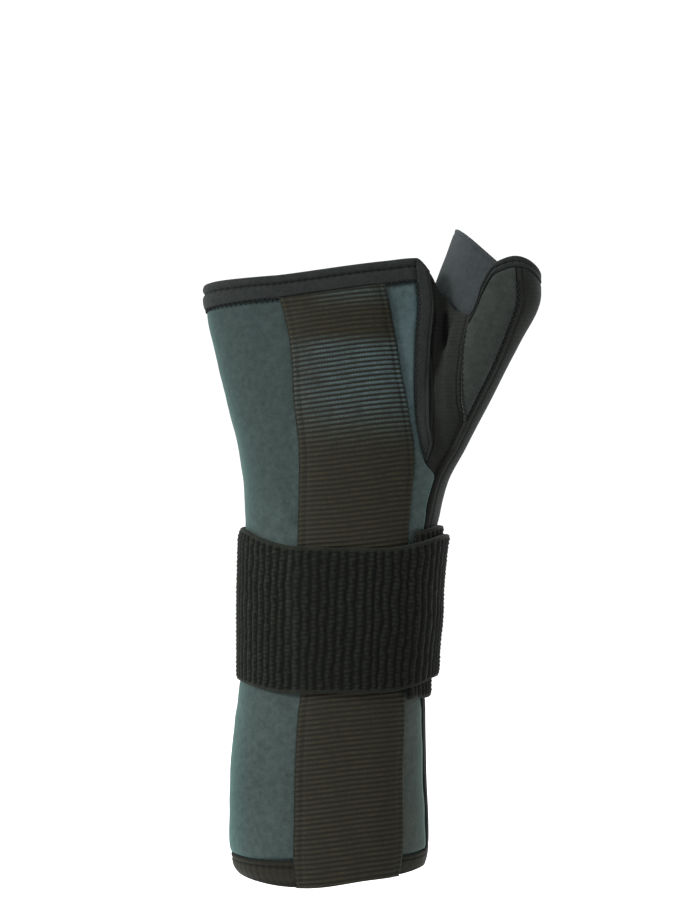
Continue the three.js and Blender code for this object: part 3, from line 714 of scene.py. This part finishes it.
def binding(name, across, foot, height, profile, proud, rows, pucker, ring=False):
    """A binding folded over a rim, from its foot to its height above that."""
    ups, prouds = zip(*profile)

    def relief(way, z, points, edges):
        up = np.clip((z - foot(way)) / height(way), 0, 1)
        stands = proud * mix(1, FLAT_SHARE, ease((front_of(way) - FLAT_SIDE) / 0.03))
        high = np.interp(up, ups, prouds)
        gather = np.sin(edges.left * math.tau / PUCKER + 2 * np.sin(edges.left / 7)) * np.sin(up * math.pi)
        # painted shade in the binding's low folds
        return stands * high + pucker * gather, 0.25 + 0.6 * np.clip(high, 0, 1) + 0.15 * gather

    def top(way):
        return foot(way) + height(way)

    return panel(name, across, foot, top, rows, relief, edge=0.6, inner=-WALL - 0.9 * proud, ring=ring)


def palm_foot(way):
    return upper(way) - PALM_BINDING


def palm_height(way):
    """The palm binding's height, with a lift at the corner on the little finger's side."""
    return PALM_BINDING + CORNER_LIFT * bump(front_of(way), CORNER_AT, CORNER_WIDE)


palm_binding = binding(
    "palm_binding_cloth",
    sleeve_ways,
    palm_foot,
    palm_height,
    ROLLED,
    proud=BINDING_PROUD,
    rows=44,
    pucker=0.08,
)

front_ways = ways([0, POCKET_LEFT, POCKET_RIGHT, TAPE], [60, 70, 10])
back_ways = ways([1 - TAPE, 1 - POCKET_RIGHT, 1 - POCKET_LEFT, 1], [10, 70, 60])
forearm_ways = np.concatenate(
    [front_ways, ways([SIDE, THUMB_SIDE, 1 - SIDE], [24, 24])[1:-1], back_ways[:-1]]
)
forearm_binding = binding(
    "forearm_binding_cloth",
    forearm_ways,
    hem_line,
    lambda way: hem_height(front_of(way)),
    FOLDED,
    proud=HEM_PROUD,
    rows=44,
    pucker=0.1,
    ring=True,
)
thumb_binding = binding(
    "thumb_binding_cloth",
    ways([STALL, SIDE, THUMB_SIDE, 1 - SIDE, 1 - STALL], [60, 34, 34, 60]),
    lambda way: below_thumb_binding(way, 0),
    lambda way: THUMB_BINDING + 0 * way,
    RIDGED,
    proud=BINDING_PROUD,
    rows=30,
    pucker=0.04,
)


def strap_inner(turn, z):
    """How far the wrist strap's inner face is off the sleeve, over the pocket and over its first layer."""
    front = turn % 1 < 0.5
    across = across_share(math.tau * turn)
    on_pocket = STRAP_SEAT + np.where(front, pocket_face(across, share(z)), 0)
    on_strap = 2 * STRAP_SEAT + STRAP_THICK
    return mix(on_pocket, np.maximum(on_pocket, on_strap), ease((turn - 1 - STRAP_START) / LAYER_RISE + 1))


def winding(name, start, end, columns, rows, inset, layer, thick, relief, coarse):
    """Cloth along the wrist strap's path. inset narrows it at both edges, and layer lifts it."""

    def grid(count, high):
        turn = np.broadcast_to(np.linspace(start, end, count + 1)[None, :], (high + 1, count + 1))
        up = np.linspace(0, 1, high + 1)[:, None]
        top = STRAP_RISE - STRAP_WIDTH * path["drop"](turn) - inset
        wide = STRAP_WIDTH * path["wide"](turn) - 2 * inset
        z = top - wide * (1 - up)
        points, normal = lay(math.tau * turn, z)
        return turn, z, points, normal, strap_inner(turn, z) + layer

    turn, z, points, normal, inner = grid(columns, rows)
    off, ridge = relief(turn, z, to_edges(points))
    front = points + normal * (inner + thick + off)[..., None]
    _, _, points, normal, inner = grid(columns // coarse, rows // coarse)
    return closed(name, front, points + normal * inner[..., None], ridge=ridge)


# The wrist strap's elastic.
CORDS, CORD_COLUMNS = 93, 6  # ribs along the wrist strap, and columns in each
CORD_HIGH, LOOP_HIGH = 0.6, 0.36
STITCH = 1.65  # from one loop on a rib to the next
HEM_FROM, HEM_BLEND, HEM_DEEP = 0.8, 0.8, -0.15  # the plain strip along both edges
PRESS, PRESS_BLEND = 0.7, 5  # how far the upper edge is pulled in
FLARE_WIDE = 0.06  # share of a turn, at the thumb's side


def strap_relief(turn, z, edges):
    left = edges.left
    phase = np.broadcast_to(np.arange(turn.shape[1])[None, :] / CORD_COLUMNS, turn.shape)
    phase = phase + (0.1 * ripple(left, z, seed=51, scale=16) + 0.09 * ripple(left, z, seed=52, scale=4))
    rib = np.sin(phase * math.pi) ** 2
    loop = np.sin((z / STITCH + np.floor(phase) % 2 * 0.5) * math.pi) ** 2
    uneven = 0.72 + 0.28 * ripple(left * 1.3, z, seed=53, scale=2.4)
    body = CORD_HIGH * (rib**0.6 - 0.75) + LOOP_HIGH * loop * rib * uneven - 0.1
    to_hem = np.minimum(edges.low, edges.high)
    hem = ease((to_hem - HEM_FROM) / HEM_BLEND)
    near = np.minimum(np.minimum(left, edges.right), to_hem)
    flare = bump(turn % 1, THUMB_SIDE, FLARE_WIDE)
    off = mix(HEM_DEEP, body, hem) - roll(near, 0.6)
    off -= PRESS * (1 - ease(edges.high / PRESS_BLEND)) * (1 - 1.6 * flare)
    off += 0.8 * flare * bump(z, middle=-22, wide=7)
    # painted shade between the ribs and between the loops
    return off, mix(0.95, (0.25 + 0.75 * rib**0.7) * (0.45 + 0.55 * loop) * uneven, hem)


strap = winding(
    "wrist_strap_cloth",
    STRAP_START,
    STRAP_END,
    columns=CORDS * CORD_COLUMNS,
    rows=172,
    inset=0,
    layer=0,
    thick=STRAP_THICK,
    relief=strap_relief,
    coarse=12,
)


def tab_relief(turn, z, edges):
    near = np.minimum.reduce(edges)
    line = bump(near, middle=2, wide=0.4)
    off = 0.05 * ripple(edges.left, z, seed=31, scale=8) - 0.2 * line - roll(near, 0.7)
    # painted shade in the sewn line
    return off, 0.8 - 0.5 * line


tab = winding(
    "wrist_strap_tab_cloth",
    TAB_START,
    STRAP_END,
    columns=90,
    rows=110,
    inset=(STRAP_WIDTH * STRAP_PATH[-1][2] - TAB_WIDTH) / 2,
    layer=STRAP_THICK + SEAT,
    thick=STRAP_THICK / 2,
    relief=tab_relief,
    coarse=6,
)


def thumb_band(name):
    """The thumb strap, with its fold in the web and its legs going down into the stall."""
    lean = math.radians(THUMB_STRAP_LEAN)
    along = np.array([math.cos(lean), 0, -math.sin(lean)])
    axis = np.array([math.sin(lean), 0, math.cos(lean)])
    rise = float(upper(np.array(STALL))) + THUMB_STRAP_RISE
    middle = np.array([THUMB_REACH - THUMB_WIDTH + THUMB_STRAP_INWARD, 0, rise])
    end = THUMB_STRAP_LONG / 2

    def grid(legs, fold, rows, inside):
        i = np.arange(fold + 2 * legs + 1)[None, :] + np.zeros((rows + 1, 1))
        up = np.linspace(0, 1, rows + 1)[:, None] + 0 * i
        turn = math.pi * (0.5 + np.clip((i - legs) / fold, 0, 1))
        down = np.maximum(np.maximum(legs - i, i - legs - fold), 0) / legs
        edge = np.minimum(up, 1 - up) * THUMB_STRAP_WIDTH
        line = bump(edge, middle=1.7, wide=0.45)
        fuzz = 0.08 * ripple(i * 0.5, up * THUMB_STRAP_WIDTH, seed=41, scale=9)
        inset = THUMB_STRAP_THICK if inside else roll(edge, 0.6) + 0.22 * line - fuzz
        centre = THUMB_STRAP_TAPER * (1 - up) - end + THUMB_STRAP_FOLD
        round_fold = centre + (THUMB_STRAP_FOLD - inset) * np.cos(turn)
        reach = np.where(down > 0, mix(centre, end, down), round_fold)
        deep = mix(THUMB_STRAP_NECK, THUMB_STRAP_DEEP, ease(up)) / 2
        deep = deep + THUMB_STRAP_SPREAD / 2 * ease(down) - inset
        points = middle + reach[..., None] * along + ((up - 0.5) * THUMB_STRAP_WIDTH)[..., None] * axis
        points[..., 1] = middle_y(points[..., 0], lobes_at(points[..., 2])) + deep * np.sin(turn)
        # painted shade in the sewn lines
        return points, 0.85 - 0.4 * line

    outer, ridge = grid(legs=40, fold=90, rows=70, inside=False)
    inner, _ = grid(legs=10, fold=30, rows=8, inside=True)
    return closed(name, outer, inner, ridge=ridge)


thumb_strap = thumb_band("thumb_strap_cloth")

# Zigzag stitching over the seams: each seam with where it starts and stops, in shares of HAND_LENGTH,
# and how far off the face it lies.
ZIGZAG, THREAD = 2.0, 0.22  # the zigzag's pitch and the thread's radius
STITCHED = [
    ("tape", TAPE_START + 0.01, 0.93, 0.3),
    ("stall", STALL_START + 0.01, 0.79, 0.3),
    ("side", STALL_START + 0.01, 0.93, 0.25),
]
palm_way = np.linspace(-TAPE + 0.004, TAPE - 0.004, 700)
stitch_lines = []
for part in (palm_way[palm_way <= POCKET_LEFT - 0.002], palm_way[palm_way >= POCKET_RIGHT + 0.002]):
    stitch_lines.append(zigzag(part, below_binding(part) - 0.35, off=0.1, pitch=ZIGZAG, reach=0.85))
up_seam = np.linspace(0, 1, 260)
for turned in (1, -1):
    for seam, start, stop, off in STITCHED:
        way = np.full(len(up_seam), turned * ROUND[seam])
        z = mix(start, stop, up_seam) * HAND_LENGTH
        stitch_lines.append(zigzag(way, z, off, pitch=ZIGZAG, reach=0.8))
stitches = threads("seam_stitches", stitch_lines, THREAD)

# Materials, whose colours are 0 to 255 on screen.
SOFT_GAIN, MOTTLE_GAIN = 1.6, 1.2  # how much each noise moves a tone
WEAVE_GAIN, WEAVE_MIDDLE = 0.4, 0.25  # how much the threads do, and their middle height
WAVE_TURN, WAVE_ALONG = 0.32, 0.04  # across and along the threads of a wave texture
GROOVE_SHADE_TO_RIDGE = (0.05, 0.75)  # the heights between which the painted groove shade gives way
ROUGH_SPREAD = 0.06
CLOTH_SPECULAR = 0.12
NAP = 0.12 * MM  # the height of threads and fibres
PALM_SIDE = (0.016, -0.006)  # in metres, from the back to the front
PATCHES = (0.4, 1.3)  # how much of a zone's tone, mostly painted light and shade, shows where the soft noise is low, and where it is high


def srgb(r, g, b):
    def linear(c):
        c = c / 255
        return c / 12.92 if c <= 0.04045 else ((c + 0.055) / 1.055) ** 2.4

    return (linear(r), linear(g), linear(b), 1)


class Nodes:
    """A short way to build one material's node tree."""

    def __init__(self, name):
        self.material = bpy.data.materials.new(name)
        self.material.use_nodes = True
        self.tree = self.material.node_tree
        self.shader = self.tree.nodes["Principled BSDF"]

    def add(self, kind, **values):
        node = self.tree.nodes.new(kind)
        for key, value in values.items():
            if key in node.inputs:
                node.inputs[key].default_value = value
            else:
                setattr(node, key, value)
        return node

    def link(self, a, b):
        self.tree.links.new(a, b)

    def scaled(self, source, scale):
        node = self.add("ShaderNodeMapping")
        node.inputs["Scale"].default_value = scale
        self.link(source, node.inputs["Vector"])
        return node.outputs["Vector"]

    def noise(self, vector, scale, detail=3.0, rough=0.5):
        node = self.add("ShaderNodeTexNoise", Scale=scale, Detail=detail, Roughness=rough)
        self.link(vector, node.inputs["Vector"])
        return node.outputs["Fac"]

    def math(self, kind, *values):
        node = self.add("ShaderNodeMath", operation=kind)
        for socket, value in zip(node.inputs, values):
            if isinstance(value, (int, float)):
                socket.default_value = value
            else:
                self.link(value, socket)
        return node.outputs[0]

    def ramp(self, source, low, high):
        node = self.add("ShaderNodeMapRange")
        node.inputs["To Min"].default_value = low
        node.inputs["To Max"].default_value = high
        self.link(source, node.inputs["Value"])
        return node.outputs["Result"]

    def blend(self, factor, a, b):
        node = self.add("ShaderNodeMix", data_type="RGBA")
        self.link(factor, node.inputs[0])
        for socket, value in ((node.inputs[6], a), (node.inputs[7], b)):
            if isinstance(value, tuple):
                socket.default_value = value
            else:
                self.link(value, socket)
        return node.outputs[2]

    def step(self, source, start, stop):
        node = self.add("ShaderNodeMapRange", interpolation_type="SMOOTHSTEP")
        node.inputs["From Min"].default_value = start
        node.inputs["From Max"].default_value = stop
        self.link(source, node.inputs["Value"])
        return node.outputs["Result"]

    def bump(self, height, strength, distance, before=None):
        node = self.add("ShaderNodeBump", Strength=strength, Distance=distance)
        self.link(height, node.inputs["Height"])
        if before:
            self.link(before, node.inputs["Normal"])
        return node.outputs["Normal"]


def light_and_tone_zone(nodes, place, soft, sideways, below, above):
    """How much of a zone's tone shows, mostly painted light and shade: patches inside the zone, and
    nothing outside it or on the back.
    """
    axes = nodes.add("ShaderNodeSeparateXYZ")
    nodes.link(place, axes.inputs[0])
    mask = nodes.ramp(soft, *PATCHES)
    for axis, (start, stop) in (("Z", below), ("Z", above[::-1]), ("X", sideways), ("Y", PALM_SIDE)):
        mask = nodes.math("MULTIPLY", mask, nodes.step(axes.outputs[axis], start, stop))
    return mask


def woven(nodes, weave):
    """The height of crossed threads. weave is their pitch across and up, in mm."""
    uv = nodes.add("ShaderNodeUVMap", uv_map="cloth").outputs["UV"]
    across, up = (1 / MM / pitch for pitch in weave)
    crossed = []
    for direction, stretch in (
        ("X", (across * WAVE_TURN, across * WAVE_ALONG, 1)),
        ("Y", (up * WAVE_ALONG, up * WAVE_TURN, 1)),
    ):
        wave = nodes.add(
            "ShaderNodeTexWave", wave_type="BANDS", bands_direction=direction, Scale=1.0, Distortion=1.5
        )
        nodes.link(nodes.scaled(uv, stretch), wave.inputs["Vector"])
        crossed.append(wave.outputs["Fac"])
    return nodes.math("MULTIPLY", *crossed)


def cloth(name, groove_shade, dark, light, rough, sheen, weave=None, grain=0.5, blotch=0.3, zones=()):
    """Cloth in three tones: painted shade in its grooves, creases and sewn lines, and a mix of two on what
    stands up. sheen is its weight, roughness and tint. zones are patches on the palm side in another tone,
    most of them painted light: painted sheen where the key light falls, and painted shade away from it;
    the others are darker patches. They are given as the ramps in metres over which they start and stop:
    (x, from and to), (z, from and to), (z, to and beyond), tone."""
    nodes = Nodes(name)
    place = nodes.add("ShaderNodeTexCoord").outputs["Object"]
    soft = nodes.noise(place, scale=30, detail=4, rough=0.6)
    mottle = nodes.noise(place, scale=420, detail=4, rough=0.65)
    fibre = nodes.noise(nodes.scaled(place, (1, 1, 1.4)), scale=1400, detail=2, rough=0.7)
    middle = 0.5 - (SOFT_GAIN * blotch + MOTTLE_GAIN + grain) / 2
    shade = nodes.math("MULTIPLY_ADD", soft, SOFT_GAIN * blotch, middle)
    shade = nodes.math("ADD", shade, nodes.math("MULTIPLY", mottle, MOTTLE_GAIN))
    shade = nodes.math("ADD", shade, nodes.math("MULTIPLY", fibre, grain))
    height = fibre
    if weave:
        height = woven(nodes, weave)
        gain = grain * WEAVE_GAIN
        shade = nodes.math("ADD", shade, nodes.math("MULTIPLY_ADD", height, gain, -gain * WEAVE_MIDDLE))
    low, high = srgb(*dark), srgb(*light)
    tone = nodes.blend(shade, low, high)
    # each zone lays its tone over the cloth's in patches; most zones are painted light and painted shade
    for sideways, below, above, zone_tone in zones:
        change = [2 * there / (a + b) for there, a, b in zip(srgb(*zone_tone), low, high)]
        turned = nodes.add("ShaderNodeVectorMath", operation="MULTIPLY")
        nodes.link(tone, turned.inputs[0])
        turned.inputs[1].default_value = change[:3]
        tone = nodes.blend(light_and_tone_zone(nodes, place, soft, sideways, below, above), tone, turned.outputs[0])
    # painted shade: the groove colour goes where the ridge attribute is low, in grooves, creases, folds
    # and sewn lines
    ridge = nodes.add("ShaderNodeAttribute", attribute_name="ridge").outputs["Fac"]
    colour = nodes.blend(nodes.step(ridge, *GROOVE_SHADE_TO_RIDGE), srgb(*groove_shade), tone)
    shader = nodes.shader.inputs
    nodes.link(colour, shader["Base Color"])
    nodes.link(nodes.ramp(mottle, rough - ROUGH_SPREAD, rough + ROUGH_SPREAD), shader["Roughness"])
    first = nodes.bump(height, strength=0.6, distance=NAP)
    nodes.link(nodes.bump(fibre, strength=0.5, distance=NAP * 0.8, before=first), shader["Normal"])
    shader["Sheen Weight"].default_value, shader["Sheen Roughness"].default_value = sheen[:2]
    shader["Sheen Tint"].default_value = sheen[2]
    shader["Specular IOR Level"].default_value = CLOTH_SPECULAR
    return nodes.material


TEAL = (0.5, 1.0, 0.92, 1)
PALE = (0.9, 1.0, 0.98, 1)
FOREARM_ON = (-0.12, -0.11)  # a ramp in z below the forearm rim
PALM_ON = (0.16, 0.17)  # and one above the palm rim
padded_cloth = cloth(
    "padded_knit",
    groove_shade=(14, 17, 17),
    dark=(30, 38, 37),
    light=(59, 69, 67),
    rough=0.95,
    sheen=(0.14, 0.5, TEAL),
    blotch=0.5,
    zones=(
        # painted shade: the forearm's lower right, away from the key light, greyer with less teal sheen
        ((0.0, 0.014), FOREARM_ON, (0.0, 0.03), (46, 46, 43)),
        # painted sheen: the forearm's far left, lit by the key light, lighter and greener
        ((-0.034, -0.046), FOREARM_ON, (-0.02, 0.02), (50, 72, 68)),
        # a darker patch on the left of the forearm
        ((-0.012, -0.02), FOREARM_ON, (-0.02, 0.0), (42, 50, 49)),
        # painted highlight: a lighter teal patch at the palm's upper right, under the binding
        ((0.01, 0.026), (0.045, 0.08), PALM_ON, (50, 62, 64)),
        # a darker patch on the left of the palm
        ((-0.012, -0.02), (0.02, 0.05), PALM_ON, (34, 42, 41)),
    ),
)
stall_cloth = cloth(
    "padded_knit_dark",
    groove_shade=(11, 12, 11),
    dark=(21, 24, 22),
    light=(43, 47, 44),
    rough=0.95,
    sheen=(0.1, 0.5, PALE),
    grain=0.7,
    blotch=0.45,
)
webbing_cloth = cloth(
    "webbing",
    groove_shade=(16, 15, 9),
    dark=(18, 17, 9),
    light=(39, 36, 24),
    rough=0.7,
    sheen=(0.05, 0.4, TEAL),
    weave=(1.1, RIB),
    grain=1.0,
    zones=(
        # painted sheen: a lighter teal band across the palm, where the pocket's swell faces the key light
        ((-0.03, 0.0), (0.056, 0.084), (0.097, 0.104), (52, 65, 66)),
        # painted sheen: a small lighter teal patch near the pocket's top
        ((-0.016, -0.002), (0.111, 0.119), PALM_ON, (39, 47, 45)),
    ),
)
binding_cloth = cloth(
    "binding",
    groove_shade=(4, 5, 5),
    dark=(14, 16, 16),
    light=(33, 36, 35),
    rough=0.9,
    sheen=(0.05, 0.5, PALE),
    weave=(0.8, 0.8),
    grain=0.9,
)
hem_cloth = cloth(
    "hem",
    groove_shade=(5, 5, 3),
    dark=(15, 14, 10),
    light=(34, 32, 24),
    rough=0.9,
    sheen=(0.05, 0.5, PALE),
    weave=(0.8, 0.8),
)
gusset_cloth = cloth(
    "gusset",
    groove_shade=(1, 2, 1),
    dark=(11, 12, 10),
    light=(27, 29, 26),
    rough=0.92,
    sheen=(0.04, 0.5, PALE),
    weave=(0.8, 1.5),
)
elastic_cloth = cloth(
    "elastic",
    groove_shade=(1, 2, 1),
    dark=(5, 6, 4),
    light=(25, 27, 22),
    rough=0.95,
    sheen=(0.03, 0.5, PALE),
    grain=0.9,
    blotch=0.5,
    # painted light: the strap's left side, lit by the key light, lighter
    zones=(((-0.012, -0.03), FOREARM_ON, PALM_ON, (22, 25, 20)),),
)
felt_cloth = cloth(
    "felt",
    groove_shade=(17, 19, 20),
    dark=(25, 29, 30),
    light=(44, 48, 50),
    rough=0.98,
    sheen=(0.1, 0.6, PALE),
    grain=0.8,
)
thread_cloth = cloth(
    "thread", groove_shade=(7, 8, 8), dark=(12, 14, 14), light=(24, 27, 27), rough=0.85, sheen=(0.0, 0.5, PALE)
)

# Each piece with what it stands for, its slot in the record and its material.
FINISHES = [
    (sleeve, ["sleeve"], "padded_knit", padded_cloth),
    (side, ["side_panel"], "binding", gusset_cloth),
    (tapes[0], ["web_tape_front"], "binding", binding_cloth),
    (tapes[1], ["web_tape_back"], "binding", binding_cloth),
    (gussets[0], ["web_gusset_front"], "binding", gusset_cloth),
    (gussets[1], ["web_gusset_back"], "binding", gusset_cloth),
    (stalls[0], ["stall_panel_front"], "padded_knit", stall_cloth),
    (stalls[1], ["stall_panel_back"], "padded_knit", stall_cloth),
    (pocket, ["splint_pocket"], "webbing", webbing_cloth),
    (palm_binding, ["palm_binding"], "binding", binding_cloth),
    (forearm_binding, ["forearm_binding"], "binding", hem_cloth),
    (thumb_binding, ["thumb_binding"], "binding", binding_cloth),
    (strap, ["wrist_strap"], "elastic", elastic_cloth),
    (tab, ["wrist_strap_tab"], "elastic", binding_cloth),
    (thumb_strap, ["thumb_strap"], "felt", felt_cloth),
    (stitches, [], "binding", thread_cloth),
]
for made, stands_for, record_slot, material in FINISHES:
    made.data.materials.append(material)
    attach(made, "root")
    if stands_for:
        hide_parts(*stands_for)

# The stage, in metres.
FLOOR_RADIUS, FLOOR_HEIGHT, FLOOR_SIDES = 4, -0.16, 64
WORLD_STRENGTH = 1.1

floor_mesh = bpy.data.meshes.new("floor")
around = np.linspace(0, math.tau, FLOOR_SIDES, endpoint=False)
rim_points = [(FLOOR_RADIUS * math.cos(t), FLOOR_RADIUS * math.sin(t), FLOOR_HEIGHT) for t in around]
floor_mesh.from_pydata(rim_points, [], [list(range(FLOOR_SIDES))])
floor = bpy.data.objects.new("floor", floor_mesh)
scene.collection.objects.link(floor)
paper = Nodes("paper")
paper_place = paper.add("ShaderNodeTexCoord").outputs["Object"]
speck = paper.blend(paper.noise(paper_place, 900), (0.94, 0.94, 0.94, 1), (0.96, 0.96, 0.96, 1))
paper.link(speck, paper.shader.inputs["Base Color"])
paper.shader.inputs["Roughness"].default_value = 0.9
paper.shader.inputs["Specular IOR Level"].default_value = 0.1
floor_mesh.materials.append(paper.material)


def area_light(name, place, size, power, aim=(0, 0, 0.02)):
    light = bpy.data.lights.new(name, "AREA")
    light.shape, light.size, light.energy = "DISK", size, power
    made = bpy.data.objects.new(name, light)
    made.location = place
    made.rotation_euler = (Vector(aim) - Vector(place)).to_track_quat("-Z", "Y").to_euler()
    scene.collection.objects.link(made)


area_light("key", (-1.25, -0.75, 0.75), size=0.5, power=34)
area_light("back", (0.7, 1.1, 0.9), size=0.7, power=12)

world = bpy.data.worlds.new("studio")
scene.world = world
world.use_nodes = True
world.node_tree.nodes["Background"].inputs["Color"].default_value = (1, 1, 1, 1)
world.node_tree.nodes["Background"].inputs["Strength"].default_value = WORLD_STRENGTH

# The camera looks along +Y, and its frame is shifted down to the part.
SCALE = 0.38  # mm of the object for each pixel of the frame
FRAME_TALL, WRIST_ROW = 922, 607  # pixels: the frame's height, and the row that the wrist is on
DISTANCE, EYE, SIDEWAYS = 900.0, 40.0, -0.8
SENSOR = 36
frame_mm = FRAME_TALL * SCALE
camera = bpy.data.objects.new("camera", bpy.data.cameras.new("camera"))
scene.collection.objects.link(camera)
camera.location = (SIDEWAYS * MM, -DISTANCE * MM, EYE * MM)
camera.rotation_euler = (math.pi / 2, 0, 0)
camera.data.sensor_width = SENSOR
camera.data.lens = SENSOR * DISTANCE / frame_mm
camera.data.shift_y = (WRIST_ROW - FRAME_TALL / 2) / FRAME_TALL - EYE / frame_mm
scene.camera = camera
scene.view_settings.view_transform = "Standard"
